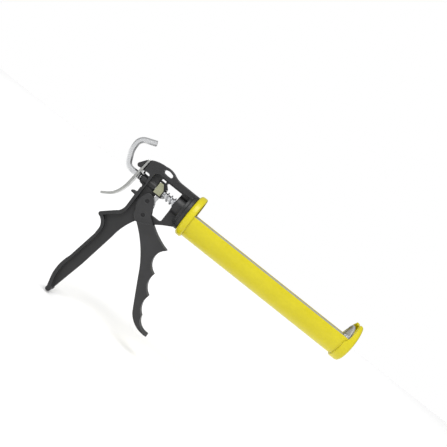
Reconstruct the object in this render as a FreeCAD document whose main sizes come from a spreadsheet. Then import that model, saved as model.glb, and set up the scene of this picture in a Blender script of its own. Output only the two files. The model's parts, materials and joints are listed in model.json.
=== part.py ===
import FreeCAD, Part
import math
import os
import Sketcher

# A swivel-barrel caulking gun for a 310 ml cartridge.
# The frame of reference: +X runs along the barrel towards the nozzle, +Z is up, Y is across.
# The origin lies on the push rod's axis, at the front face of the frame's flange.
# All sizes are in millimetres.

os.makedirs("parts", exist_ok=True)
doc = FreeCAD.newDocument("caulking_gun")
sheet = doc.addObject("Spreadsheet::Sheet", "Sizes")
V = FreeCAD.Vector

# ---- named sizes -------------------------------------------------------------------------
S = {
    # the cartridge and what holds it
    "cartridge_dia": 46.8,
    "cradle_clear": 0.45,
    "barrel_len": 249.0,
    "sheet_thk": 1.2,
    "trough_lip": 3.3,
    "collar_len": 9.6,
    "collar_gap": 0.3,
    "cap_skirt_top": 5.8,
    "cap_skirt_low": 12.5,
    "cap_wall": 2.2,
    "collar_wall": 2.7,
    "nozzle_width": 24.0,
    "seat_gap": 0.1,
    # the push rod and what rides on it
    "rod_flats": 6.35,
    "rod_clear": 0.09,
    "grip_clear": 0.06,
    "hook_start": -85.5,
    "thread_dia": 6.0,
    "disc_dia": 38.4,
    "disc_thk": 1.6,
    "disc_rim": 3.4,
    "disc_corner": 2.4,
    "disc_inset": 7.0,
    "nut_flats": 10.0,
    "nut_len": 4.4,
    "jam_nut_len": 2.5,
    "disc_washer_dia": 14.0,
    "disc_washer_thk": 0.9,
    # the frame casting
    "web_thk": 7.0,
    "rim_width": 20.0,
    "boss_rad": 12.0,
    "flange_thk": 4.8,
    "guide_rad": 5.6,
    "guide_end": -69.8,
    "window_rear": -49.6,
    "window_front": -19.8,
    # the trigger and its drive
    "pin_dia": 5.0,
    "pin_clear": 0.05,
    "pin_sink": 0.7,
    "cheek_gap": 0.8,
    "cheek_wall": 3.7,
    "finger_flare": 1.0,
    "finger_wall": 2.6,
    "pivot_x": -40.8,
    "pivot_z": -34.2,
    "drive_x": -46.8,
    "drive_z": -18.0,
    "roller_rad": 3.4,
    "roller_side_gap": 0.5,
    "roller_gap": 0.4,
    "washer_dia": 11.0,
    "washer_clear": 0.1,
    "link_thk": 4.2,
    "block_rear": -48.6,
    "block_len": 9.6,
    "block_half": 7.0,
    "block_top": 9.5,
    "block_floor": 1.044,
    "grip_thk": 2.0,
    "grip_half": 5.2,
    "spring_wire": 1.4,
    "spring_turns": 3.4,
    "spring_room": 0.85,
    "seat_thk": 0.8,
    "yoke_wall": 1.0,
    "yoke_foot": 0.6,
    "yoke_gap": 0.12,
    "yoke_half": 6.2,
    # the release plate
    "plate_thk": 3.0,
    "plate_half": 9.0,
    "plate_top_x": -74.6,
    "plate_top_z": 22.2,
    "plate_notch_z": 7.4,
    "plate_web": 2.2,
    "plate_lean": 5.3,
    "slot_clear": 0.3,
    "plate_hole_clear": 0.32,
    "release_wire": 0.7,
    "release_turns": 3.0,
    # the swivel between frame and barrel
    "sleeve_rad": 7.0,
    "sleeve_back": -17.0,
    "swivel_clear": 0.06,
    "wave_thk": 0.9,
    "flat_thk": 1.0,
    "ring_thk": 1.0,
    "ring_rad": 9.4,
    "swivel_washer_rad": 12.0,
}
# sizes that follow from those above
S["trough_in"] = S["cartridge_dia"] / 2 + S["cradle_clear"]
S["trough_out"] = S["trough_in"] + S["sheet_thk"]
S["shell_in"] = S["trough_out"] + S["seat_gap"]
S["collar_out"] = S["shell_in"] + S["collar_wall"]
S["cap_out"] = S["shell_in"] + S["cap_wall"]
S["flange_rad"] = S["trough_in"] - 0.15
S["rod_rad"] = S["rod_flats"] / math.sqrt(3)
S["rod_bore"] = S["rod_rad"] + S["rod_clear"]
S["grip_bore"] = S["rod_rad"] + S["grip_clear"]
S["plate_bore"] = S["rod_rad"] + S["plate_hole_clear"]
S["coil_rad"] = S["rod_rad"] + S["spring_room"] + S["spring_wire"] / 2
S["release_rad"] = S["rod_rad"] + 0.3 + S["release_wire"] / 2
S["pin_rad"] = S["pin_dia"] / 2
S["pin_hole"] = S["pin_rad"] + S["pin_clear"]
S["cheek_in"] = S["web_thk"] / 2 + S["cheek_gap"]
S["cheek_out"] = S["cheek_in"] + S["cheek_wall"]
S["finger_half"] = S["cheek_out"] + S["finger_flare"]
S["pin_half"] = S["cheek_out"] - S["pin_sink"]
S["roller_half"] = S["cheek_in"] - S["roller_side_gap"]
S["washer_out"] = S["cheek_in"] - S["washer_clear"]
S["washer_in"] = S["web_thk"] / 2 + S["washer_clear"]
S["block_low"] = -S["rod_bore"] - S["block_floor"]
S["block_front"] = S["block_rear"] + S["block_len"]
S["yoke_low"] = S["block_low"] - S["yoke_gap"] - S["yoke_wall"] - S["yoke_foot"]
S["yoke_front"] = S["block_front"] + S["yoke_gap"] + S["yoke_wall"]
S["disc_x"] = S["barrel_len"] - S["sheet_thk"] - S["disc_inset"]
S["ring_seat"] = S["sleeve_rad"] - 0.8
S["washer_hole"] = S["sleeve_rad"] + 0.1
S["seat_hole"] = S["rod_rad"] + 0.15
S["seat_rad"] = S["coil_rad"] + S["spring_wire"] / 2 - 1.0

for row, (alias, number) in enumerate(S.items(), 1):
    sheet.set("A%d" % row, alias)
    sheet.set("B%d" % row, "%.6f" % number)
    sheet.setAlias("B%d" % row, alias)
doc.recompute()

made = []


# ---- helpers -----------------------------------------------------------------------------
def bind(thing, prop, alias):
    thing.setExpression(prop, "Sizes." + alias)


def new_body(label):
    """A body that becomes the node of that name."""
    body = doc.addObject("PartDesign::Body", label)
    body.Label = label
    body.Placement = FreeCAD.Placement()
    made.append(body)
    return body


def origin_item(body, role):
    return [item for item in body.Origin.OriginFeatures if item.Role == role][0]


def new_sketch(body, name, plane="XZ_Plane", off=0.0):
    sketch = body.newObject("Sketcher::SketchObject", name)
    sketch.AttachmentSupport = [(origin_item(body, plane), "")]
    sketch.MapMode = "FlatFace"
    sketch.AttachmentOffset = FreeCAD.Placement(V(0, 0, off), FreeCAD.Rotation())
    return sketch


def draw(sketch, steps):
    """Closed outline: (x, z) ends a line, (mx, mz, ex, ez) ends an arc through its middle."""
    start = V(steps[0][0], steps[0][1], 0)
    here = start
    for step in list(steps[1:]) + [steps[0]]:
        end = V(step[-2], step[-1], 0)
        if len(step) == 4:
            sketch.addGeometry(Part.Arc(here, V(step[0], step[1], 0), end), False)
        elif (end - here).Length > 1e-6:
            sketch.addGeometry(Part.LineSegment(here, end), False)
        here = end
    return sketch


def circle(sketch, x, y, alias):
    """A circle whose radius is read from the sheet."""
    geo = sketch.addGeometry(Part.Circle(V(x, y, 0), V(0, 0, 1), S[alias]), False)
    spot = sketch.addConstraint(Sketcher.Constraint("Radius", geo, S[alias]))
    bind(sketch, "Constraints[%d]" % spot, alias)


def hexagon(sketch, radius, turn=90.0):
    steps = []
    for k in range(6):
        a = math.radians(turn + 60 * k)
        steps.append((radius * math.cos(a), radius * math.sin(a)))
    draw(sketch, steps)


def across(body, kind, name, sketch, alias=None, length=None):
    """Pad or pocket to both sides of the sketch, the whole width read from the sheet."""
    feat = body.newObject("PartDesign::" + kind, name)
    feat.Profile = sketch
    feat.SideType = "Symmetric"
    feat.Length = length if length else 1.0
    if alias:
        feat.setExpression("Length", "2 * Sizes." + alias)
    sketch.Visibility = False
    doc.recompute()
    return feat


def along(body, kind, name, sketch, length, reverse=False):
    """Pad or pocket along the sketch's normal; a text length is an expression on the sheet."""
    feat = body.newObject("PartDesign::" + kind, name)
    feat.Profile = sketch
    feat.Reversed = reverse
    if isinstance(length, str):
        feat.setExpression("Length", length)
    else:
        feat.Length = length
    sketch.Visibility = False
    doc.recompute()
    return feat


def turned(body, kind, name, steps, role="X_Axis"):
    """Revolution or groove of an outline round the push rod's axis."""
    sketch = draw(new_sketch(body, name + "_outline"), steps)
    feat = body.newObject("PartDesign::" + kind, name)
    feat.Profile = sketch
    feat.ReferenceAxis = (origin_item(body, role), [""])
    feat.Angle = 360
    sketch.Visibility = False
    doc.recompute()
    return feat


def ring(label, x0, thick_alias, out_alias, in_alias):
    """A flat round washer about the push rod's axis, from x0 forwards."""
    body = new_body(label)
    sketch = new_sketch(body, label + "_face", "YZ_Plane", x0)
    circle(sketch, 0, 0, out_alias)
    circle(sketch, 0, 0, in_alias)
    along(body, "Pad", label + "_thickness", sketch, "Sizes." + thick_alias)
    return body


def cross_pin(label, x, z, rad_alias, half_alias, in_alias=None):
    """A round pin or roller lying across the gun at x, z."""
    body = new_body(label)
    sketch = new_sketch(body, label + "_round")
    circle(sketch, x, z, rad_alias)
    if in_alias:
        circle(sketch, x, z, in_alias)
    across(body, "Pad", label + "_length", sketch, half_alias)
    return body


def path_steps(x, z, heading, moves):
    """Walks lines and turns: returns [(x, z, heading)] with each arc's middle kept."""
    spots = [(x, z, heading, None)]
    for move in moves:
        if len(move) == 1:
            x += move[0] * math.cos(math.radians(heading))
            z += move[0] * math.sin(math.radians(heading))
            spots.append((x, z, heading, None))
            continue
        radius, turn = move
        side = math.copysign(90, turn)
        cx = x + radius * math.cos(math.radians(heading + side))
        cz = z + radius * math.sin(math.radians(heading + side))
        a_mid = math.radians(heading - side + turn / 2)
        a_end = math.radians(heading - side + turn)
        mid = (cx + radius * math.cos(a_mid), cz + radius * math.sin(a_mid))
        x = cx + radius * math.cos(a_end)
        z = cz + radius * math.sin(a_end)
        heading += turn
        spots.append((x, z, heading, mid))
    return spots


def strip(x, z, heading, moves, thick):
    """Closed outline of a strip of even thickness bent along a path of lines and turns."""
    sides = []
    for sign in (1, -1):
        a = math.radians(heading + 90 * sign)
        shifted = []
        for move in moves:
            if len(move) == 1:
                shifted.append(move)
            else:
                grow = -sign * math.copysign(1, move[1]) * thick / 2
                shifted.append((move[0] + grow, move[1]))
        side_x = x + thick / 2 * math.cos(a)
        side_z = z + thick / 2 * math.sin(a)
        sides.append(path_steps(side_x, side_z, heading, shifted))
    steps = [sides[0][0][:2]]
    for px, pz, _, mid in sides[0][1:]:
        steps.append((mid[0], mid[1], px, pz) if mid else (px, pz))
    back = sides[1]
    steps.append(back[-1][:2])
    for k in range(len(back) - 1, 0, -1):
        mid = back[k][3]
        px, pz = back[k - 1][:2]
        steps.append((mid[0], mid[1], px, pz) if mid else (px, pz))
    return steps


def coil(label, x0, x1, rad_alias, wire, turns):
    """A coil spring about the push rod's axis, from x0 to x1."""
    body = new_body(label)
    sketch = new_sketch(body, label + "_wire")
    sketch.addGeometry(Part.Circle(V(x0 + wire / 2, S[rad_alias], 0), V(0, 0, 1), wire / 2), False)
    spot = sketch.addConstraint(Sketcher.Constraint("DistanceY", -1, 1, 0, 3, S[rad_alias]))
    bind(sketch, "Constraints[%d]" % spot, rad_alias)
    helix = body.newObject("PartDesign::AdditiveHelix", label + "_coil")
    helix.Profile = sketch
    helix.ReferenceAxis = (origin_item(body, "X_Axis"), [""])
    helix.Mode = "height-turns-angle"
    helix.Height = x1 - x0 - wire
    helix.Turns = turns
    helix.LeftHanded = False
    sketch.Visibility = False
    doc.recompute()
    return body


# ---- the frame casting -------------------------------------------------------------------
ARCH = [
    (-28.8, 23.6),
    (-36.0, 24.9, -41.5, 27.3),
    (-48.5, 28.8, -56.0, 28.1),
    (-68.0, 25.8, -77.5, 19.8),
    (-83.0, 12.2),
    (-82.9, 9.2, -79.0, 8.2),
]
SPINE = [
    (-63.6, -17.4),
    (-69.2, -17.9),
    (-69.9, -19.2, -69.2, -20.5),
    (-63.6, -21.0),
    (-63.2, -36.6),
    (-65.4, -45.4, -70.8, -50.6),
    (-83.4, -62.2),
    (-83.8, -64.6, -81.0, -66.8),
    (-75.0, -71.6, -72.2, -80.0),
    (-72.4, -88.0),
    (-79.2, -126.6),
    (-83.1, -146.0, -81.0, -162.6),
    (-78.4, -172.0),
    (-75.6, -176.8, -72.4, -172.4),
]


def frame_outline():
    """The whole silhouette of the casting."""
    front = -S["flange_thk"] / 2
    steps = [(front, 23.4)] + ARCH
    room = S["release_rad"] + S["release_wire"] / 2 + 0.234
    steps += [(-76.6, 8.2), (-72.2, 8.2), (-72.2, room), (S["guide_end"], room)]
    steps += [(S["guide_end"], -4.4), (-68.0, -5.9, -65.6, -6.4), (-63.9, -7.6, -63.6, -9.6)]
    steps += SPINE
    steps += [(-70.2, -162.0), (-68.0, -152.0), (-62.4, -126.6), (-54.6, -78.6)]
    steps += [(-51.4, -62.0, -44.6, -46.4), (-36.0, -41.6), (-24.0, -36.0)]
    steps += [(-15.6, -30.0), (front, -22.4)]
    return steps


def rim_outline():
    """The broad arch and the flange down the back of the grip."""
    front = -S["flange_thk"] / 2
    steps = [(front, 23.4)] + ARCH
    steps += [(-76.6, 8.2), (-72.2, 8.2), (-63.6, 8.2), (-60.4, -6.0)]
    steps += [(-63.6, -9.6)]
    steps += SPINE
    steps += [(-74.6, -168.0), (-78.6, -148.0, -75.4, -126.6), (-68.6, -88.0), (-68.4, -80.0)]
    steps += [(-71.4, -69.4, -78.6, -63.6), (-68.2, -54.0)]
    steps += [(-61.0, -46.6, -59.4, -36.6), (-59.4, 9.6)]
    steps += [(-57.6, 14.6, -52.6, 16.4), (front, 16.4)]
    return steps


def frame_casting():
    body = new_body("frame_casting")
    web = draw(new_sketch(body, "web_outline"), frame_outline())
    across(body, "Pad", "web", web)
    doc.getObject("web").setExpression("Length", "Sizes.web_thk")
    rim = draw(new_sketch(body, "rim_outline"), rim_outline())
    across(body, "Pad", "rim", rim)
    doc.getObject("rim").setExpression("Length", "Sizes.rim_width")
    boss_x = S["window_front"]
    turned(body, "Revolution", "front_boss", [
        (boss_x, 0), (boss_x, S["boss_rad"] - 0.8), (boss_x + 0.8, S["boss_rad"]),
        (-8.4, S["boss_rad"]), (-8.4, S["flange_rad"] - 3.2), (-4.8, S["flange_rad"] - 3.2),
        (-4.8, S["flange_rad"] - 0.8), (-4.0, S["flange_rad"]), (0, S["flange_rad"]), (0, 0),
    ])
    turned(body, "Revolution", "rod_guide", [
        (S["guide_end"], 0), (S["guide_end"], S["guide_rad"]),
        (S["window_rear"], S["guide_rad"]), (S["window_rear"], 0),
    ])
    window = draw(new_sketch(body, "window_outline"), [
        (S["window_rear"], 12.6), (-49.1, 13.8, -47.8, 14.2), (-43.4, 14.2), (-43.2, 12.3),
        (-40.4, 12.3), (-40.2, 14.0), (S["window_front"], 14.0),
        (S["window_front"], -25.0), (-20.8, -27.6, -23.4, -28.4), (-33.0, -28.4),
        (S["window_rear"] - 1.8, -26.0), (S["window_rear"] - 1.8, -12.4), (-44.6, -12.4),
        (-44.6, S["yoke_low"] - 0.4), (S["window_rear"], S["yoke_low"] - 0.4),
    ])
    across(body, "Pocket", "window", window, length=60)
    slots = new_sketch(body, "slot_outlines")
    draw(slots, [(-51.2, 25.3), (-53.8, 22.9, -51.4, 20.5), (-47.1, 20.1, -42.8, 20.5),
                 (-40.4, 22.9, -43.0, 25.3), (-47.1, 26.1, -51.2, 25.3)])
    draw(slots, [(-69.2, 8.9), (-71.0, 7.1, -69.2, 5.8), (-65.4, 5.8), (-63.8, 7.3, -65.4, 8.9)])
    across(body, "Pocket", "hang_slot", slots, length=60)
    lean = math.tan(math.radians(S["plate_lean"]))
    back = S["plate_top_x"] - S["plate_thk"] / 2 - S["slot_clear"]
    fore = S["plate_top_x"] + S["plate_thk"] / 2 + 0.8
    for side in (1, -1):
        mouth = new_sketch(body, "plate_slot_outline_%d" % (side + 2), off=side * S["plate_web"])
        draw(mouth, [
            (fore, 30.0), (back + (30.0 - S["plate_top_z"]) * lean, 30.0),
            (back - (S["plate_top_z"] - 5.0) * lean, 5.0), (fore, 5.0),
        ])
        along(body, "Pocket", "plate_slot_%d" % (side + 2), mouth, 30.0, side > 0)
    turned(body, "Groove", "rod_bore", [
        (-90.0, 0), (-90.0, S["rod_bore"]), (S["window_front"] + 0.5, S["rod_bore"]),
        (S["window_front"] + 0.5, 0),
    ])
    turned(body, "Groove", "sleeve_bore", [
        (S["window_front"] - 1, 0), (S["window_front"] - 1, S["rod_bore"]),
        (S["sleeve_back"], S["rod_bore"]), (S["sleeve_back"], S["sleeve_rad"] + 0.02),
        (5.0, S["sleeve_rad"] + 0.02), (5.0, 0),
    ])
    holes = new_sketch(body, "pivot_hole_round")
    circle(holes, S["pivot_x"], S["pivot_z"], "pin_hole")
    across(body, "Pocket", "pivot_hole", holes, length=60)
    return body


# ---- trigger, its pins and the drive -----------------------------------------------------
FINGERS = [
    (-24.0, -36.0),
    (-17.0, -40.4),
    (-5.0, -46.2, 8.0, -50.4),
    (0.8, -64.0, 13.6, -82.6),
    (14.0, -95.4, 24.6, -107.2),
    (24.2, -118.6, 32.8, -131.4),
    (39.2, -141.2, 51.4, -144.6),
    (52.5, -145.6, 51.4, -146.6),
    (35.4, -144.2, 21.0, -132.6),
    (9.4, -112.0, -3.6, -88.2),
    (-20.6, -64.6, -41.6, -45.4),
]
CHEEK = [
    (-24.0, -36.0),
    (-21.0, -41.0),
    (-28.0, -48.0),
    (-41.6, -45.4),
    (-48.6, -42.2, -51.8, -34.6),
    (-56.4, -22.0, -54.0, -13.6),
    (-50.6, -9.0, -45.6, -9.6),
    (-39.4, -14.6, -36.8, -22.0),
    (-32.6, -29.8),
]


def trigger_casting():
    body = new_body("trigger_casting")
    cheeks = draw(new_sketch(body, "cheek_outline"), CHEEK)
    across(body, "Pad", "cheeks", cheeks, "cheek_out")
    fingers = draw(new_sketch(body, "finger_outline"), FINGERS)
    across(body, "Pad", "fingers", fingers, "finger_half")
    wall = S["finger_wall"]
    fork = draw(new_sketch(body, "fork_outline"), [
        (-70.0, 4.0), (-28.0, 4.0), (-22.6, -37.4), (-19.0, -41.6 - wall / 2),
        (1.8 - wall, -51.6), (-2.0 - wall, -63.6), (7.8 - wall, -83.4), (11.2 - wall, -97.4),
        (17.8 - wall, -109.6), (20.0 - wall, -119.8), (25.0 - wall, -129.8),
        (14.0, -126.0), (-6.0, -90.0), (-24.0, -63.0), (-70.0, -63.0),
    ])
    slot = across(body, "Pocket", "fork", fork, "cheek_in")
    holes = new_sketch(body, "pin_holes_round")
    circle(holes, S["pivot_x"], S["pivot_z"], "pin_hole")
    circle(holes, S["drive_x"], S["drive_z"], "pin_hole")
    across(body, "Pocket", "pin_holes", holes, length=60)
    return body


def pivot_washers():
    body = new_body("pivot_washers")
    sketch = new_sketch(body, "washer_round")
    rad = S["washer_dia"] / 2
    sketch.addGeometry(Part.Circle(V(S["pivot_x"], S["pivot_z"], 0), V(0, 0, 1), rad), False)
    circle(sketch, S["pivot_x"], S["pivot_z"], "pin_hole")
    across(body, "Pad", "washer_stack", sketch, "washer_out")
    middle = new_sketch(body, "web_space_outline")
    x, z = S["pivot_x"], S["pivot_z"]
    draw(middle, [(x - 9, z - 9), (x + 9, z - 9), (x + 9, z + 9), (x - 9, z + 9)])
    across(body, "Pocket", "web_space", middle, "washer_in")
    return body


def drive_block():
    body = new_body("drive_block")
    side = draw(new_sketch(body, "block_side"), [
        (S["block_rear"], S["block_top"] - 1), (S["block_rear"] + 1, S["block_top"]),
        (S["block_front"] - 4.4, S["block_top"]), (S["block_front"], 3.0),
        (S["block_front"], S["block_low"]), (S["block_rear"], S["block_low"]),
    ])
    across(body, "Pad", "block", side, "block_half")
    room = 2 * S["grip_thk"] + 0.6
    mid = S["block_rear"] + S["block_len"] / 2
    nest = draw(new_sketch(body, "plate_nest_outline"), [
        (mid - room / 2, 7.0), (mid + room / 2, 7.0), (mid + room / 2, -7.0), (mid - room / 2, -7.0),
    ])
    across(body, "Pocket", "plate_nest", nest, length=2 * S["grip_half"] + 0.4)
    bore = new_sketch(body, "block_bore_round", "YZ_Plane", S["block_rear"] - 5)
    circle(bore, 0, 0, "rod_bore")
    along(body, "Pocket", "block_bore", bore, 40.0, True)
    return body


def drive_yoke():
    """The dark strap bent over the block, down its front and under it."""
    body = new_body("drive_yoke")
    gap, wall = S["yoke_gap"], S["yoke_wall"]
    front, low, top = S["block_front"] + gap, S["block_low"] - gap, S["block_top"] + gap
    lip = S["coil_rad"] - 0.2
    side = draw(new_sketch(body, "yoke_side"), [
        (S["block_rear"] - 0.8, top), (front - 4.3, top), (front, 3.1), (front, low),
        (S["block_rear"], low), (S["block_rear"], S["yoke_low"]),
        (front + wall + 1.0, S["yoke_low"]), (front + wall + 1.0, low - 0.6),
        (front + wall, low), (front + wall, lip), (front + wall + 1.6, lip + 1.6),
        (front - 2.6, top + wall + 1.2), (S["block_rear"] - 0.8, top + wall + 1.2),
    ])
    across(body, "Pad", "yoke", side, "yoke_half")
    bore = new_sketch(body, "yoke_bore_round", "YZ_Plane", front - 1.0)
    circle(bore, 0, 0, "rod_bore")
    along(body, "Pocket", "yoke_bore", bore, 30.0, True)
    return body


def grip_plates():
    body = new_body("grip_plates")
    mid = S["block_rear"] + S["block_len"] / 2
    half = S["grip_thk"] + 0.15
    foot = S["block_low"] + 0.2
    side = draw(new_sketch(body, "plates_side"), [
        (mid - half, 6.8), (mid - half, foot), (mid - 0.15, foot), (mid - 0.15, 6.8),
    ])
    draw(side, [(mid + 0.15, 6.8), (mid + 0.15, foot), (mid + half, foot), (mid + half, 6.8)])
    across(body, "Pad", "plates", side, "grip_half")
    bore = new_sketch(body, "plates_bore_hex", "YZ_Plane", S["block_rear"] - 5)
    hexagon(bore, S["grip_bore"])
    along(body, "Pocket", "plates_bore", bore, 40.0, True)
    return body


def drive_link():
    body = new_body("drive_link")
    x0 = S["drive_x"] + S["roller_rad"] + S["roller_gap"]
    head = S["yoke_low"] - 0.02
    side = draw(new_sketch(body, "link_side"), [
        (x0, head - 0.6), (x0 + 0.6, head), (x0 + S["link_thk"], head),
        (x0 + S["link_thk"], -15.0), (x0 + S["link_thk"] - 0.4, -20.8, x0 + 1.2, -20.8), (x0, -19.6),
    ])
    across(body, "Pad", "link", side, "roller_half")
    return body


def rod_parts():
    body = new_body("push_rod")
    moves = [(10.0, -65.0), (8.0,), (28.0, -25.0), (2.6,), (11.0, -69.0), (13.6,)]
    path = new_sketch(body, "rod_path")
    spots = path_steps(S["hook_start"], 0, 180.0, moves)
    here = V(S["disc_x"] - S["nut_len"] - 1.0, 0, 0)
    for px, pz, _, mid in spots:
        end = V(px, pz, 0)
        if mid:
            path.addGeometry(Part.Arc(here, V(mid[0], mid[1], 0), end), False)
        else:
            path.addGeometry(Part.LineSegment(here, end), False)
        here = end
    bar = new_sketch(body, "rod_section", "YZ_Plane", S["disc_x"] - S["nut_len"] - 1.0)
    hexagon(bar, S["rod_rad"])
    sweep = body.newObject("PartDesign::AdditivePipe", "rod_bar")
    sweep.Profile = bar
    sweep.Spine = (path, ["Edge%d" % (k + 1) for k in range(len(path.Geometry))])
    path.Visibility = False
    bar.Visibility = False
    doc.recompute()
    end = S["disc_x"] + S["disc_thk"] + S["disc_washer_thk"] + S["jam_nut_len"] + 0.25
    turned(body, "Revolution", "thread", [
        (S["disc_x"] - S["nut_len"] - 1.2, 0), (S["disc_x"] - S["nut_len"] - 1.2, S["thread_dia"] / 2),
        (end - 0.6, S["thread_dia"] / 2), (end, S["thread_dia"] / 2 - 0.6), (end, 0),
    ])
    disc = new_body("pusher_disc")
    x, t, r = S["disc_x"], S["disc_thk"], S["disc_dia"] / 2
    hole = S["thread_dia"] / 2 + 0.05
    c = S["disc_corner"]
    mid, back = x + t - c, x + t - S["disc_rim"]
    outer, inner = c * math.sqrt(0.5), (c - t) * math.sqrt(0.5)
    turned(disc, "Revolution", "dish", [
        (x, hole), (x, r - c), (mid + inner, r - c + inner, x + t - c, r - t), (back, r - t),
        (back, r), (x + t - c, r), (mid + outer, r - c + outer, x + t, r - c), (x + t, hole),
    ])
    nuts = new_body("disc_nuts")
    front = x + t + S["disc_washer_thk"] + 0.04
    for k, (x0, size) in enumerate(((x - S["nut_len"] - 0.02, "nut_len"), (front, "jam_nut_len"))):
        hexes = new_sketch(nuts, "nut_hex_%d" % k, "YZ_Plane", x0)
        hexagon(hexes, S["nut_flats"] / math.sqrt(3), 0.0)
        hexes.addGeometry(Part.Circle(V(0, 0, 0), V(0, 0, 1), hole), False)
        along(nuts, "Pad", "nut_%d" % k, hexes, "Sizes." + size)
    washer = new_body("disc_washer")
    rim = new_sketch(washer, "disc_washer_round", "YZ_Plane", x + t + 0.02)
    rim.addGeometry(Part.Circle(V(0, 0, 0), V(0, 0, 1), S["disc_washer_dia"] / 2), False)
    rim.addGeometry(Part.Circle(V(0, 0, 0), V(0, 0, 1), hole), False)
    along(washer, "Pad", "disc_washer_body", rim, "Sizes.disc_washer_thk")


def release_parts():
    body = new_body("release_plate")
    heading = -90.0 - S["plate_lean"]
    moves = [(36.8,), (46.0, -20.0), (25.0, -32.0), (7.2,)]
    outline = strip(S["plate_top_x"], S["plate_top_z"], heading, moves, S["plate_thk"])
    side = draw(new_sketch(body, "plate_side"), outline)
    across(body, "Pad", "plate", side, "plate_half")
    arm = S["plate_web"] + S["slot_clear"]
    notch = draw(new_sketch(body, "plate_notch_outline", "YZ_Plane", -90.0), [
        (-arm, 30.0), (arm, 30.0), (arm, S["plate_notch_z"]), (-arm, S["plate_notch_z"]),
    ])
    along(body, "Pocket", "plate_notch", notch, 40.0, True)
    bore = new_sketch(body, "plate_bore_round", "YZ_Plane", -90.0)
    circle(bore, 0, 0, "plate_bore")
    along(body, "Pocket", "plate_bore_cut", bore, 40.0, True)
    lean = math.radians(S["plate_lean"])
    face = S["plate_top_x"] - S["plate_top_z"] * math.tan(lean) + S["plate_thk"] / 2
    coil("release_spring", face + 0.75, S["guide_end"] - 0.05, "release_rad",
         S["release_wire"], S["release_turns"])


# ---- the swivelling barrel ---------------------------------------------------------------
def rear_collar():
    body = new_body("rear_collar")
    g, t = S["collar_gap"], S["sheet_thk"] * 1.5
    r, w = S["collar_out"], S["collar_len"]
    hole = S["sleeve_rad"] + S["swivel_clear"]
    turned(body, "Revolution", "cup", [
        (g, hole), (g, r - 4.0), (g + 1.17, r - 1.17, g + 4.0, r), (w - 2.2, r),
        (w - 0.6, r - 0.5, w, r - 2.0), (w, S["shell_in"]), (g + t, S["shell_in"]), (g + t, hole),
    ])
    return body


def trough_section(sketch, r_in, r_out, lip):
    """Half-pipe section whose two edges stand a lip's height above the axis."""
    steps = [(-math.sqrt(r_out ** 2 - lip ** 2), lip), (0, -r_out, math.sqrt(r_out ** 2 - lip ** 2), lip)]
    steps += [(math.sqrt(r_in ** 2 - lip ** 2), lip), (0, -r_in, -math.sqrt(r_in ** 2 - lip ** 2), lip)]
    return draw(sketch, steps)


def cradle_trough():
    body = new_body("cradle_trough")
    x0 = S["collar_gap"] + 1.5 * S["sheet_thk"] + S["seat_gap"]
    sketch = new_sketch(body, "trough_section", "YZ_Plane", x0)
    trough_section(sketch, S["trough_in"], S["trough_out"], S["trough_lip"])
    along(body, "Pad", "trough", sketch, S["barrel_len"] - S["sheet_thk"] - S["seat_gap"] - x0)
    return body


def front_cap():
    body = new_body("front_cap")
    x, t, r = S["barrel_len"], S["sheet_thk"], S["cap_out"]
    low = x - S["cap_skirt_low"]
    turned(body, "Revolution", "cap_cup", [
        (x - t, 0), (x, 0), (x, r - 4.0), (x - 1.17, r - 1.17, x - 4.0, r), (low + 0.8, r),
        (low, r - 0.8),
        (low, S["shell_in"]), (x - t, S["shell_in"]),
    ])
    top = draw(new_sketch(body, "skirt_top_outline"), [
        (low - 5, S["trough_lip"] - 4), (low + 1.0, S["trough_lip"] - 4),
        (x - S["cap_skirt_top"] - 3.4, S["trough_lip"] + 1.0), (x - S["cap_skirt_top"], r - 4.0),
        (x - S["cap_skirt_top"], r + 5), (low - 5, r + 5),
    ])
    across(body, "Pocket", "skirt_top", top, length=100)
    half = S["nozzle_width"] / 2
    notch = draw(new_sketch(body, "nozzle_notch_outline", "YZ_Plane", x + 5), [
        (-half, r + 5), (-half, 0), (0, -half, half, 0), (half, r + 5),
    ])
    along(body, "Pocket", "nozzle_notch", notch, 30.0, False)
    return body


def swivel_parts():
    sleeve = new_body("swivel_sleeve")
    seat = S["collar_gap"] + 1.5 * S["sheet_thk"]
    ring_x = seat + 0.1 + S["wave_thk"] + 0.1 + S["flat_thk"] + 0.05
    end = ring_x + S["ring_thk"] + 1.2
    back = S["sleeve_back"] + 0.05
    turned(sleeve, "Revolution", "sleeve", [
        (back, S["rod_bore"]), (back, S["sleeve_rad"]), (ring_x - 0.03, S["sleeve_rad"]),
        (ring_x - 0.03, S["ring_seat"] - 0.05), (ring_x + S["ring_thk"] + 0.03, S["ring_seat"] - 0.05),
        (ring_x + S["ring_thk"] + 0.03, S["sleeve_rad"]), (end - 0.5, S["sleeve_rad"]),
        (end, S["sleeve_rad"] - 0.5), (end, S["rod_bore"]),
    ])
    ring("wave_washer", seat + 0.1, "wave_thk", "swivel_washer_rad", "washer_hole")
    ring("swivel_washer", seat + 0.2 + S["wave_thk"], "flat_thk", "swivel_washer_rad", "washer_hole")
    clip = ring("retaining_ring", ring_x, "ring_thk", "ring_rad", "ring_seat")
    gap = draw(new_sketch(clip, "clip_gap_outline", "YZ_Plane", ring_x - 1), [
        (-2.6, -0.5), (2.6, -0.5), (4.0, -12.0), (-4.0, -12.0),
    ])
    along(clip, "Pocket", "clip_gap", gap, 5.0, True)


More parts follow.
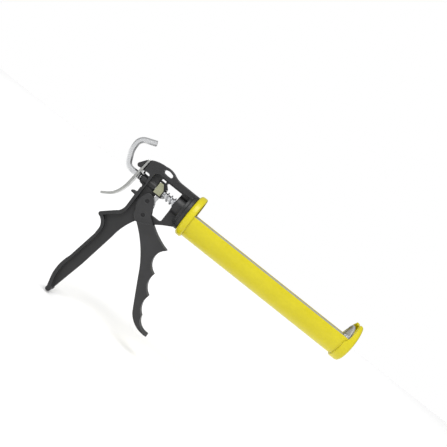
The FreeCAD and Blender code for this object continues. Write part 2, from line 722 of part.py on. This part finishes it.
# ---- build everything --------------------------------------------------------------------
frame_casting()
trigger_casting()
cross_pin("trigger_pivot_pin", S["pivot_x"], S["pivot_z"], "pin_rad", "pin_half")
cross_pin("drive_pin", S["drive_x"], S["drive_z"], "pin_rad", "pin_half")
cross_pin("drive_roller", S["drive_x"], S["drive_z"], "roller_rad", "roller_half", "pin_hole")
pivot_washers()
drive_block()
drive_yoke()
grip_plates()
drive_link()
rod_parts()
release_parts()
rear_collar()
cradle_trough()
front_cap()
swivel_parts()
ring("spring_seat", S["yoke_front"] + 0.02, "seat_thk", "seat_rad", "seat_hole")
coil("return_spring", S["yoke_front"] + S["seat_thk"] + 0.05, S["window_front"] - 0.05,
     "coil_rad", S["spring_wire"], S["spring_turns"])

doc.recompute()
for thing in doc.Objects:
    if "Invalid" in thing.State or "Error" in thing.State:
        raise RuntimeError("%s did not compute: %s" % (thing.Name, thing.State))
for body in made:
    shape = body.Shape
    if shape.isNull() or not shape.isValid():
        raise RuntimeError("%s has no valid shape" % body.Label)
    shape.exportStep("parts/%s.step" % body.Label)
    box = shape.BoundBox
    print("%-18s solids %d vol %9.1f  x %7.1f %7.1f  y %6.1f %6.1f  z %7.1f %7.1f" % (
        body.Label, len(shape.Solids), shape.Volume, box.XMin, box.XMax, box.YMin, box.YMax,
        box.ZMin, box.ZMax))
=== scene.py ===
import sys
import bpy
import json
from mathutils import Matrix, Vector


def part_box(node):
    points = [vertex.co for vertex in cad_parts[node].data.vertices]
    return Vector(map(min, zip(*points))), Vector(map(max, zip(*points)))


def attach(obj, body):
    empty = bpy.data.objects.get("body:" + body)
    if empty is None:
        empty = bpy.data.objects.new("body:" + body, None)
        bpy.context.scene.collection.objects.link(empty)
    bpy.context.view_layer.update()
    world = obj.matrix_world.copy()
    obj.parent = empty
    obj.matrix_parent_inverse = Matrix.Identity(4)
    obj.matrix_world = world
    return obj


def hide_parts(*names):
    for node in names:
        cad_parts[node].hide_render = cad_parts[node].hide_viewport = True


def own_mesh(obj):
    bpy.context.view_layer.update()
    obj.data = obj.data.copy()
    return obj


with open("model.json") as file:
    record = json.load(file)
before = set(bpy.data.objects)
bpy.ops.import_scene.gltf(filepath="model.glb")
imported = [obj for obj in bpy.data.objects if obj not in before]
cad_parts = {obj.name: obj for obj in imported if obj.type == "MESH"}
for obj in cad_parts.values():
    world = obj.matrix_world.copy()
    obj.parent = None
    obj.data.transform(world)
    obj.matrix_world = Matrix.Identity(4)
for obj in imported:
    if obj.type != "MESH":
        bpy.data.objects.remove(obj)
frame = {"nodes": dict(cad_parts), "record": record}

"""A swivel-barrel caulking gun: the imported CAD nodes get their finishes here, and the two coil
springs are wound over theirs. Lengths are in metres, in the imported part's frame."""

import json
import logging
import math
from dataclasses import dataclass, field
from enum import Enum

import bpy
from mathutils import Matrix, Vector

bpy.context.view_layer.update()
LOG = logging.getLogger("caulking_gun")
MM = 0.001

# How far from an inner corner its painted shade reaches.
PAINTED_SHADE_REACH = 8 * MM
# How finely each shading point looks round for edges and for the painted shade in inner corners.
EDGE_LOOKS = 6
CORNER_LOOKS = 8
# How closely a softened normal follows the true one, where the scuffed and painted-lighter edge starts
# and where it is full.
SHEEN_AND_WEAR_STARTS = 0.985
SHEEN_AND_WEAR_FULL = 0.85
# Shares of the broad and the fine noise in the wandering of the gloss, which add up to 1.
PATCH_SHARE = 0.6
GRAIN_SHARE = 0.4
# Pitch of a closed turn, as a multiple of the wire's diameter.
TURN_PITCH = 1.02
# Facets round the wire, and steps in which one turn is swept.
WIRE_SIDES = 14
STEPS_A_TURN = 40


# ---- colour and node helpers ---------------------------------------------------------------
def linear(code: str) -> tuple[float, float, float, float]:
    """Turns an sRGB hex colour into the linear values that shaders take.

    Args:
        code: six hex digits, with or without a leading #.

    Returns:
        Red, green, blue and an alpha of 1, all linear.
    """
    digits = code.lstrip("#")
    parts = [int(digits[k:k + 2], 16) / 255 for k in (0, 2, 4)]
    lin = [c / 12.92 if c <= 0.04045 else ((c + 0.055) / 1.055) ** 2.4 for c in parts]
    return (lin[0], lin[1], lin[2], 1.0)


class Grain(Enum):
    """How a surface's fine pattern runs."""

    EVEN = "even"
    DRAWN_X = "drawn along X"
    ROLLED = "rolled across"


@dataclass(frozen=True)
class Finish:
    """One real surface finish, and what it takes to shade it.

    Args:
        name: the material's name, after the real material.
        slot: the record's material slot it stands for.
        base: sRGB colour of the clean surface.
        tint: sRGB colour of its lighter or scuffed patches.
        metallic: 1 for bare metal, 0 for paint.
        roughness: middle roughness.
        spread: how far the roughness wanders either way.
        grain_mm: size of the fine grain.
        bump_mm: height of the fine grain.
        patch_mm: size of the broad colour patches.
        patch_mix: how strongly the patches show.
        ior: refractive index of the coat or paint.
        coat: weight of a clear top layer.
        coat_roughness: how dull that layer is.
        edge_mm: radius that sharp edges are softened to for light.
        grain: which way the grain runs.
        wear_and_sheen: how far the edges are scuffed and painted lighter as a highlight, 0 for not at
            all.
        worn_and_lit: sRGB colour of a scuffed edge, which also paints the edge highlight.
        painted_shade: how dark the painted shade makes the inner corners and recesses, 0 for none.
    """

    name: str
    slot: str
    base: str
    tint: str
    metallic: float
    roughness: float
    spread: float
    grain_mm: float
    bump_mm: float
    patch_mm: float
    patch_mix: float
    ior: float = 1.5
    coat: float = 0.0
    coat_roughness: float = 0.1
    edge_mm: float = 0.35
    grain: Grain = Grain.EVEN
    wear_and_sheen: float = 0.0
    worn_and_lit: str = "#7C7D80"
    painted_shade: float = 0.0

    def build(self) -> bpy.types.Material:
        """Makes the material's nodes.

        Returns:
            The finished material.
        """
        mat = bpy.data.materials.new(self.name)
        mat.use_nodes = True
        tree = mat.node_tree
        shader = tree.nodes["Principled BSDF"]
        shader.inputs["Metallic"].default_value = self.metallic
        shader.inputs["IOR"].default_value = self.ior
        shader.inputs["Coat Weight"].default_value = self.coat
        shader.inputs["Coat Roughness"].default_value = self.coat_roughness
        coords = tree.nodes.new("ShaderNodeTexCoord")
        stretch = tree.nodes.new("ShaderNodeMapping")
        stretch.inputs["Scale"].default_value = {
            Grain.EVEN: (1.0, 1.0, 1.0),
            Grain.DRAWN_X: (0.02, 1.0, 1.0),
            Grain.ROLLED: (1.0, 0.06, 1.0),
        }[self.grain]
        tree.links.new(coords.outputs["Object"], stretch.inputs["Vector"])
        patches = self._noise(tree, coords.outputs["Object"], self.patch_mm, 4.0)
        fine = self._noise(tree, stretch.outputs["Vector"], self.grain_mm, 2.0)
        soft = tree.nodes.new("ShaderNodeBevel")
        soft.samples = EDGE_LOOKS
        soft.inputs["Radius"].default_value = self.edge_mm * MM
        rubbed_and_lit = self._edge_wear_and_sheen(tree, soft.outputs["Normal"], patches)
        self._colour(tree, shader, patches, fine, rubbed_and_lit)
        self._roughness(tree, shader, patches, fine)
        self._relief(tree, shader, fine, soft.outputs["Normal"])
        return mat

    @staticmethod
    def _noise(tree, vector, size_mm: float, detail: float):
        """Adds a noise whose blobs are about size_mm across.

        Args:
            tree: the node tree.
            vector: the socket that gives the coordinates.
            size_mm: blob size in millimetres.
            detail: octaves.

        Returns:
            The noise node's value socket.
        """
        noise = tree.nodes.new("ShaderNodeTexNoise")
        noise.inputs["Scale"].default_value = 1.0 / (size_mm * MM)
        noise.inputs["Detail"].default_value = detail
        tree.links.new(vector, noise.inputs["Vector"])
        return noise.outputs["Fac"]

    def _edge_wear_and_sheen(self, tree, softened, patches):
        """Finds the edges that hands and hooks rub, and that are painted lighter as a highlight, broken
        up in patches.

        Args:
            tree: the node tree.
            softened: the normal with its edges rounded.
            patches: the broad noise.

        Returns:
            A socket that is 0 on flat faces and up to the finish's wear_and_sheen at edges.
        """
        form = tree.nodes.new("ShaderNodeNewGeometry")
        bend = tree.nodes.new("ShaderNodeVectorMath")
        bend.operation = "DOT_PRODUCT"
        tree.links.new(softened, bend.inputs[0])
        tree.links.new(form.outputs["Normal"], bend.inputs[1])
        edge = tree.nodes.new("ShaderNodeMapRange")
        edge.inputs["From Min"].default_value = SHEEN_AND_WEAR_STARTS
        edge.inputs["From Max"].default_value = SHEEN_AND_WEAR_FULL
        edge.inputs["To Min"].default_value = 0.0
        edge.inputs["To Max"].default_value = self.wear_and_sheen * 2.0
        tree.links.new(bend.outputs["Value"], edge.inputs["Value"])
        broken = tree.nodes.new("ShaderNodeMath")
        broken.operation = "MULTIPLY"
        broken.use_clamp = True
        tree.links.new(edge.outputs["Result"], broken.inputs[0])
        tree.links.new(patches, broken.inputs[1])
        return broken.outputs["Value"]

    def _colour(self, tree, shader, patches, fine, rubbed_and_lit) -> None:
        """Colours the surface in soft patches with a faint fine mottle, scuffed edges painted lighter as
        a highlight, and painted shade in the inner corners.

        Args:
            tree: the node tree.
            shader: the surface shader.
            patches: the broad noise.
            fine: the fine noise.
            rubbed_and_lit: how far each point is scuffed and painted lighter as an edge highlight.
        """
        ramp = tree.nodes.new("ShaderNodeValToRGB")
        ramp.color_ramp.elements[0].position = 0.38
        ramp.color_ramp.elements[1].position = 0.68
        ramp.color_ramp.elements[0].color = (0, 0, 0, 1)
        ramp.color_ramp.elements[1].color = (self.patch_mix,) * 3 + (1,)
        tree.links.new(patches, ramp.inputs["Fac"])
        mix = tree.nodes.new("ShaderNodeMix")
        mix.data_type = "RGBA"
        mix.inputs["A"].default_value = linear(self.base)
        mix.inputs["B"].default_value = linear(self.tint)
        tree.links.new(ramp.outputs["Color"], mix.inputs["Factor"])
        mottle = tree.nodes.new("ShaderNodeMix")
        mottle.data_type = "RGBA"
        mottle.blend_type = "MULTIPLY"
        mottle.inputs["Factor"].default_value = 0.12
        tree.links.new(mix.outputs["Result"], mottle.inputs["A"])
        tree.links.new(fine, mottle.inputs["B"])
        # Scuffed edges, painted lighter also as a highlight of the light that edges catch.
        edges = tree.nodes.new("ShaderNodeMix")
        edges.data_type = "RGBA"
        edges.inputs["B"].default_value = linear(self.worn_and_lit)
        tree.links.new(rubbed_and_lit, edges.inputs["Factor"])
        tree.links.new(mottle.outputs["Result"], edges.inputs["A"])
        # Painted shade: ambient occlusion darkens the colour in inner corners and recesses, where shade
        # falls.
        corners = tree.nodes.new("ShaderNodeAmbientOcclusion")
        corners.samples = CORNER_LOOKS
        corners.inputs["Distance"].default_value = PAINTED_SHADE_REACH
        painted_shade_mix = tree.nodes.new("ShaderNodeMix")
        painted_shade_mix.data_type = "RGBA"
        painted_shade_mix.blend_type = "MULTIPLY"
        painted_shade_mix.inputs["Factor"].default_value = self.painted_shade
        tree.links.new(edges.outputs["Result"], painted_shade_mix.inputs["A"])
        tree.links.new(corners.outputs["AO"], painted_shade_mix.inputs["B"])
        tree.links.new(painted_shade_mix.outputs["Result"], shader.inputs["Base Color"])

    def _roughness(self, tree, shader, patches, fine) -> None:
        """Lets the gloss wander with handling marks and grain.

        Args:
            tree: the node tree.
            shader: the surface shader.
            patches: the broad noise.
            fine: the fine noise.
        """
        both = tree.nodes.new("ShaderNodeMath")
        both.operation = "MULTIPLY_ADD"
        both.inputs[1].default_value = PATCH_SHARE
        tree.links.new(patches, both.inputs[0])
        half = tree.nodes.new("ShaderNodeMath")
        half.operation = "MULTIPLY"
        half.inputs[1].default_value = GRAIN_SHARE
        tree.links.new(fine, half.inputs[0])
        tree.links.new(half.outputs["Value"], both.inputs[2])
        span = tree.nodes.new("ShaderNodeMapRange")
        span.inputs["From Min"].default_value = 0.3
        span.inputs["From Max"].default_value = 0.7
        span.inputs["To Min"].default_value = max(0.05, self.roughness - self.spread)
        span.inputs["To Max"].default_value = min(1.0, self.roughness + self.spread)
        tree.links.new(both.outputs["Value"], span.inputs["Value"])
        tree.links.new(span.outputs["Result"], shader.inputs["Roughness"])

    def _relief(self, tree, shader, fine, softened) -> None:
        """Raises the grain and softens sharp edges for light.

        Args:
            tree: the node tree.
            shader: the surface shader.
            fine: the fine noise.
            softened: the normal with its edges rounded.
        """
        bump = tree.nodes.new("ShaderNodeBump")
        bump.inputs["Strength"].default_value = 1.0
        bump.inputs["Distance"].default_value = self.bump_mm * MM
        tree.links.new(fine, bump.inputs["Height"])
        tree.links.new(softened, bump.inputs["Normal"])
        tree.links.new(bump.outputs["Normal"], shader.inputs["Normal"])


# Satin powder coat on the die-cast frame: near black, with a fine orange peel that breaks up its gloss,
# scuffed edges painted lighter as a highlight, and deep painted shade in its recesses.
POWDER_COAT = Finish("satin_black_powder_coat", "black_powder_coat", "#1C1C1D", "#272729",
                     0.0, 0.46, 0.08, 0.9, 0.012, 26.0, 0.5, ior=1.48, edge_mm=1.9, wear_and_sheen=0.10,
                     painted_shade=0.8)
# The same coat on the trigger, a little greyer all over, with its scuffed edges painted lighter as a
# highlight and lighter painted shade in its corners.
TRIGGER_COAT = Finish("satin_black_powder_coat_greyer", "trigger_powder_coat", "#242425", "#303032",
                      0.0, 0.42, 0.09, 0.9, 0.012, 20.0, 0.55, ior=1.48, edge_mm=1.9, wear_and_sheen=0.12,
                      painted_shade=0.5)
# Enamel on pressed sheet: a bright greenish yellow with a soft gloss and a slight stoved waviness; its
# pale yellow scuffed edges are a painted highlight, and its inner corners get a light painted shade.
YELLOW_ENAMEL = Finish("yellow_stoving_enamel", "yellow_enamel", "#D2C404", "#D9CC18",
                       0.0, 0.34, 0.06, 3.0, 0.010, 38.0, 0.5, ior=1.40, coat=0.12,
                       coat_roughness=0.18, edge_mm=0.5, wear_and_sheen=0.16, worn_and_lit="#EDE58A",
                       painted_shade=0.25)
# Zinc on drawn hexagonal bar: pale grey with fine lines along its length.
ZINC_BAR = Finish("zinc_plated_drawn_bar", "zinc_rod", "#DADBDC", "#C9CBCD",
                  0.85, 0.30, 0.06, 0.35, 0.0015, 9.0, 0.6, edge_mm=0.3, grain=Grain.DRAWN_X)
# Zinc on the pressed release plate: bright, faintly clouded.
ZINC_PLATE = Finish("bright_zinc_plated_plate", "zinc_plate", "#B6B7B4", "#9FA09E",
                    1.0, 0.27, 0.09, 0.6, 0.005, 7.0, 0.6, edge_mm=1.1, grain=Grain.ROLLED)
# Zinc on nuts, washers and small pressings.
ZINC_SMALL = Finish("zinc_plated_steel", "zinc_steel", "#C6C7C8", "#A4A6A8",
                    1.0, 0.33, 0.08, 0.5, 0.005, 5.0, 0.6, edge_mm=0.2)
# Galvanised pressed disc: a duller, cooler grey.
GALVANISED = Finish("galvanised_pressed_steel", "galvanised_disc", "#CFD0D3", "#B2B4B8",
                    0.6, 0.42, 0.10, 0.8, 0.008, 6.0, 0.7, edge_mm=0.3)
# Zinc with an olive passivation on the drive block: grey-green, half matt.
OLIVE_ZINC = Finish("olive_passivated_zinc", "olive_passivated_zinc", "#A2A387", "#85866E",
                    0.55, 0.48, 0.08, 0.7, 0.010, 6.0, 0.6, edge_mm=0.4)
# Bare spring wire: bright, with fine draw marks.
SPRING_WIRE = Finish("spring_steel_wire", "spring_steel", "#C9CACE", "#9FA1A6",
                     1.0, 0.26, 0.07, 0.3, 0.003, 4.0, 0.5, edge_mm=0.1)
# Black oxide on pins, the sleeve and the release spring: nearly black with a dull metal sheen.
BLACK_OXIDE = Finish("black_oxide_steel", "dark_steel", "#141415", "#1E1E20",
                     0.3, 0.44, 0.08, 0.5, 0.006, 5.0, 0.5, edge_mm=0.2)

FINISHES = (POWDER_COAT, TRIGGER_COAT, YELLOW_ENAMEL, ZINC_BAR, ZINC_PLATE, ZINC_SMALL,
            GALVANISED, OLIVE_ZINC, SPRING_WIRE, BLACK_OXIDE)


class Palette:
    """All finishes, made once and shared."""

    def __init__(self) -> None:
        """Builds every material."""
        self.by_slot: dict[str, bpy.types.Material] = {}
        for finish in FINISHES:
            self.by_slot[finish.slot] = finish.build()

    def dress(self, obj: bpy.types.Object, slot: str) -> None:
        """Gives a piece the finish of one of the record's slots.

        Args:
            obj: the piece.
            slot: the slot's name.
        """
        obj.data.materials.clear()
        obj.data.materials.append(self.by_slot[slot])


# ---- modelling helpers -----------------------------------------------------------------------
def select_only(obj: bpy.types.Object) -> None:
    """Makes obj the only selected and the active object.

    Args:
        obj: the object.
    """
    bpy.ops.object.select_all(action="DESELECT")
    obj.select_set(True)
    bpy.context.view_layer.objects.active = obj


def settle(obj: bpy.types.Object) -> None:
    """Puts an object's place into its mesh, so that it sits at the origin.

    Args:
        obj: the object.
    """
    select_only(obj)
    bpy.ops.object.transform_apply(location=True, rotation=True, scale=True)


def apply_all(obj: bpy.types.Object) -> None:
    """Applies every modifier in order.

    Args:
        obj: the object.
    """
    select_only(obj)
    for name in [m.name for m in obj.modifiers]:
        bpy.ops.object.modifier_apply(modifier=name)


@dataclass
class Coil:
    """A coil spring round the push rod's axis with closed ends.

    Args:
        name: the piece's name.
        x0: where its rear end stands.
        x1: where its front end stands.
        radius: to the middle of the wire.
        wire: wire diameter.
        turns: open turns between the closed ends.
        closed: turns that lie against each other at either end.
    """

    name: str
    x0: float
    x1: float
    radius: float
    wire: float
    turns: float
    closed: float = 0.9

    def mesh(self) -> bpy.types.Object:
        """Sweeps the wire's circle round the axis in three runs and welds them.

        Returns:
            The spring as one object.
        """
        lift = self.wire * self.closed * TURN_PITCH
        free = self.x1 - self.x0 - self.wire - 2 * lift
        x = self.x0 + self.wire / 2
        made = []
        start = 0.0
        for turns, length in ((self.closed, lift), (self.turns, free), (self.closed, lift)):
            bpy.ops.mesh.primitive_circle_add(vertices=WIRE_SIDES, radius=self.wire / 2,
                                              location=(x, 0, self.radius),
                                              rotation=(math.radians(90), 0, 0))
            obj = bpy.context.object
            settle(obj)
            obj.data.transform(Matrix.Rotation(start, 4, "X"))
            screw = obj.modifiers.new("wind", "SCREW")
            screw.axis = "X"
            screw.angle = turns * 2 * math.pi
            screw.screw_offset = length
            screw.steps = screw.render_steps = max(12, int(turns * STEPS_A_TURN))
            screw.use_merge_vertices = False
            apply_all(obj)
            start += turns * 2 * math.pi
            x += length
            made.append(obj)
        select_only(made[0])
        for obj in made[1:]:
            obj.select_set(True)
        bpy.ops.object.join()
        spring = bpy.context.object
        spring.name = self.name
        select_only(spring)
        bpy.ops.object.mode_set(mode="EDIT")
        bpy.ops.mesh.select_all(action="SELECT")
        bpy.ops.mesh.remove_doubles(threshold=self.wire * 0.05)
        bpy.ops.mesh.select_all(action="DESELECT")
        bpy.ops.mesh.select_non_manifold()
        bpy.ops.mesh.edge_face_add()
        bpy.ops.mesh.select_all(action="SELECT")
        bpy.ops.mesh.normals_make_consistent(inside=False)
        bpy.ops.object.mode_set(mode="OBJECT")
        bpy.ops.object.shade_smooth()
        return spring


# ---- sub-assemblies --------------------------------------------------------------------------
@dataclass
class SubAssembly:
    """Some CAD nodes with their finishes, and the pieces modelled over them.

    Args:
        palette: the shared finishes.
    """

    palette: Palette
    pieces: list[str] = field(default_factory=list)

    def finish_nodes(self) -> None:
        """Gives each CAD node of this group the finish that the record names."""
        slots = {s["node"]: s["material_slot"] for s in frame["record"]["subparts"]}
        for name in self.pieces:
            self.palette.dress(frame["nodes"][name], slots[name])
            LOG.info("finished %s with %s", name, slots[name])

    def build(self) -> None:
        """Finishes the nodes. A group with pieces to model adds them."""
        self.finish_nodes()

    def adopt(self, obj: bpy.types.Object, body: str, slot: str, *nodes: str) -> None:
        """Hangs a new piece on a body, with its finish, in place of CAD nodes.

        Args:
            obj: the piece.
            body: the body that it rides on.
            slot: the material slot.
            nodes: the CAD nodes it stands for.
        """
        self.palette.dress(obj, slot)
        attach(obj, body)
        if nodes:
            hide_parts(*nodes)
        LOG.info("made %s on %s", obj.name, body)


@dataclass
class FrameCasting(SubAssembly):
    """The black casting with its pins, the springs and the swivel's parts."""

    pieces: list[str] = field(default_factory=lambda: [
        "frame_casting", "trigger_pivot_pin", "pivot_washers", "swivel_sleeve", "wave_washer",
        "swivel_washer", "retaining_ring"])

    def build(self) -> None:
        """Finishes the nodes and winds the two springs."""
        self.finish_nodes()
        low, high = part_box("return_spring")
        wire = 1.4 * MM
        coil = Coil("return_spring_wound", low.x, high.x, high.z - wire / 2, wire,
                    turns=2.8, closed=0.4).mesh()
        self.adopt(coil, "frame", "spring_steel", "return_spring")
        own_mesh(coil)
        low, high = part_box("release_spring")
        wire = 0.7 * MM
        small = Coil("release_spring_wound", low.x, high.x, high.z - wire / 2, wire, turns=1.6).mesh()
        self.adopt(small, "frame", "dark_steel", "release_spring")
        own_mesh(small)


@dataclass
class Trigger(SubAssembly):
    """The trigger casting with its drive pin and roller."""

    pieces: list[str] = field(default_factory=lambda: ["trigger_casting", "drive_pin", "drive_roller"])


@dataclass
class Drive(SubAssembly):
    """The drive block in its yoke, its grip plates, link and spring seat."""

    pieces: list[str] = field(default_factory=lambda: [
        "drive_block", "drive_yoke", "grip_plates", "drive_link", "spring_seat"])


@dataclass
class PushRod(SubAssembly):
    """The hooked rod with the pusher disc."""

    pieces: list[str] = field(default_factory=lambda: [
        "push_rod", "pusher_disc", "disc_nuts", "disc_washer"])


@dataclass
class ReleasePlate(SubAssembly):
    """The thumb release plate."""

    pieces: list[str] = field(default_factory=lambda: ["release_plate"])


@dataclass
class Barrel(SubAssembly):
    """The swivelling collar, cradle and front cap."""

    pieces: list[str] = field(default_factory=lambda: ["rear_collar", "cradle_trough", "front_cap"])


# ---- studio ----------------------------------------------------------------------------------
@dataclass
class Studio:
    """The plain pale floor, the soft lights and the camera.

    Args:
        aim: the point the camera looks at.
        distance: from the camera to that point.
        elevation_deg: how far above the level the camera stands.
        azimuth_deg: how far round it stands.
        roll_deg: how far the view is turned.
        view_width: width of what the camera sees at the aim point.
        floor_z: height of the floor, just under the grip.
        floor_glow: light the floor gives back, which keeps it pale under the gun.
        dim: strength of the surround behind and beside the gun.
        bright: strength of the surround in front of it.
    """

    aim: tuple[float, float, float] = (0.0408, 0.0, 0.0174)
    distance: float = 0.90
    elevation_deg: float = 2.0
    azimuth_deg: float = 0.0
    roll_deg: float = 38.5
    view_width: float = 0.5364
    floor_z: float = -0.1785
    floor_glow: float = 0.06
    dim: float = 0.42
    bright: float = 0.86

    def camera(self) -> None:
        """Places the camera and makes it the scene's."""
        bpy.ops.object.camera_add()
        cam = bpy.context.object
        cam.name = "camera"
        a, e = math.radians(self.azimuth_deg), math.radians(self.elevation_deg)
        back = Vector((math.sin(a) * math.cos(e), -math.cos(a) * math.cos(e), math.sin(e)))
        place = Vector(self.aim) + back * self.distance
        aim = back.to_track_quat("Z", "Y").to_matrix().to_4x4()
        roll = Matrix.Rotation(math.radians(self.roll_deg), 4, "Z")
        cam.matrix_world = Matrix.Translation(place) @ aim @ roll
        cam.data.sensor_width = 36.0
        cam.data.lens = cam.data.sensor_width * self.distance / self.view_width
        cam.data.clip_start = 0.01
        bpy.context.scene.camera = cam

    def surround(self) -> None:
        """Lights the gun from a bright wall in front, with dimmer sides, top and bottom."""
        world = bpy.data.worlds.new("studio")
        world.use_nodes = True
        tree = world.node_tree
        coords = tree.nodes.new("ShaderNodeTexCoord")
        facing = tree.nodes.new("ShaderNodeVectorMath")
        facing.operation = "DOT_PRODUCT"
        facing.inputs[1].default_value = Vector((0.05, -0.85, 0.52)).normalized()
        tree.links.new(coords.outputs["Generated"], facing.inputs[0])
        fall = tree.nodes.new("ShaderNodeMapRange")
        fall.inputs["From Min"].default_value = -0.1
        fall.inputs["From Max"].default_value = 0.95
        fall.inputs["To Min"].default_value = self.dim
        fall.inputs["To Max"].default_value = self.bright
        tree.links.new(facing.outputs["Value"], fall.inputs["Value"])
        path = tree.nodes.new("ShaderNodeLightPath")
        seen = tree.nodes.new("ShaderNodeMix")
        seen.inputs["B"].default_value = 1.0
        tree.links.new(path.outputs["Is Camera Ray"], seen.inputs["Factor"])
        tree.links.new(fall.outputs["Result"], seen.inputs["A"])
        tree.links.new(seen.outputs["Result"], tree.nodes["Background"].inputs["Strength"])
        tree.nodes["Background"].inputs["Color"].default_value = (1, 1, 1, 1)
        bpy.context.scene.world = world

    def lamp(self, name: str, place: tuple[float, float, float], size: float, power: float,
             straight_down: bool = False) -> bpy.types.Object:
        """Adds one soft square lamp that faces the gun or the floor.

        Args:
            name: the lamp's name.
            place: where it hangs.
            size: its side.
            power: in watts.
            straight_down: whether it lights the floor instead of the gun.

        Returns:
            The lamp.
        """
        bpy.ops.object.light_add(type="AREA", location=place)
        lamp = bpy.context.object
        lamp.name = name
        lamp.data.energy = power
        lamp.data.size = size
        if not straight_down:
            away = Vector(place) - Vector(self.aim)
            lamp.rotation_euler = away.to_track_quat("Z", "Y").to_euler()
        return lamp

    def build(self) -> None:
        """Makes the floor, the surrounding light, the lamps and the camera."""
        bpy.ops.mesh.primitive_plane_add(size=6.0, location=(0, 0, self.floor_z))
        floor = bpy.context.object
        floor.name = "floor"
        settle(floor)
        # Matt white paint: a bright ground with no glare, on which the soft shadow shows.
        mat = bpy.data.materials.new("pale_floor_paint")
        mat.use_nodes = True
        shader = mat.node_tree.nodes["Principled BSDF"]
        shader.inputs["Base Color"].default_value = linear("#F7F7F7")
        shader.inputs["Roughness"].default_value = 0.9
        shader.inputs["Emission Color"].default_value = (1, 1, 1, 1)
        shader.inputs["Emission Strength"].default_value = self.floor_glow
        floor.data.materials.append(mat)
        washed = bpy.data.collections.new("floor_only")
        washed.objects.link(floor)
        self.surround()
        self.lamp("key", place=(-0.15, -0.95, 1.20), size=0.8, power=13.0)
        wash = self.lamp("floor_wash", place=(0.04, 1.9, 1.30), size=4.0, power=34.0, straight_down=True)
        wash.light_linking.receiver_collection = washed
        bpy.context.scene.view_settings.view_transform = "Standard"
        self.camera()


def main() -> None:
    """Builds every sub-assembly in order, then the studio."""
    logging.basicConfig(level=logging.INFO, format="%(name)s: %(message)s", stream=sys.stdout)
    palette = Palette()
    for group in (FrameCasting, Trigger, Drive, PushRod, ReleasePlate, Barrel):
        group(palette).build()
        LOG.info("built %s", group.__name__)
    Studio().build()


if __name__ == "__main__":
    main()
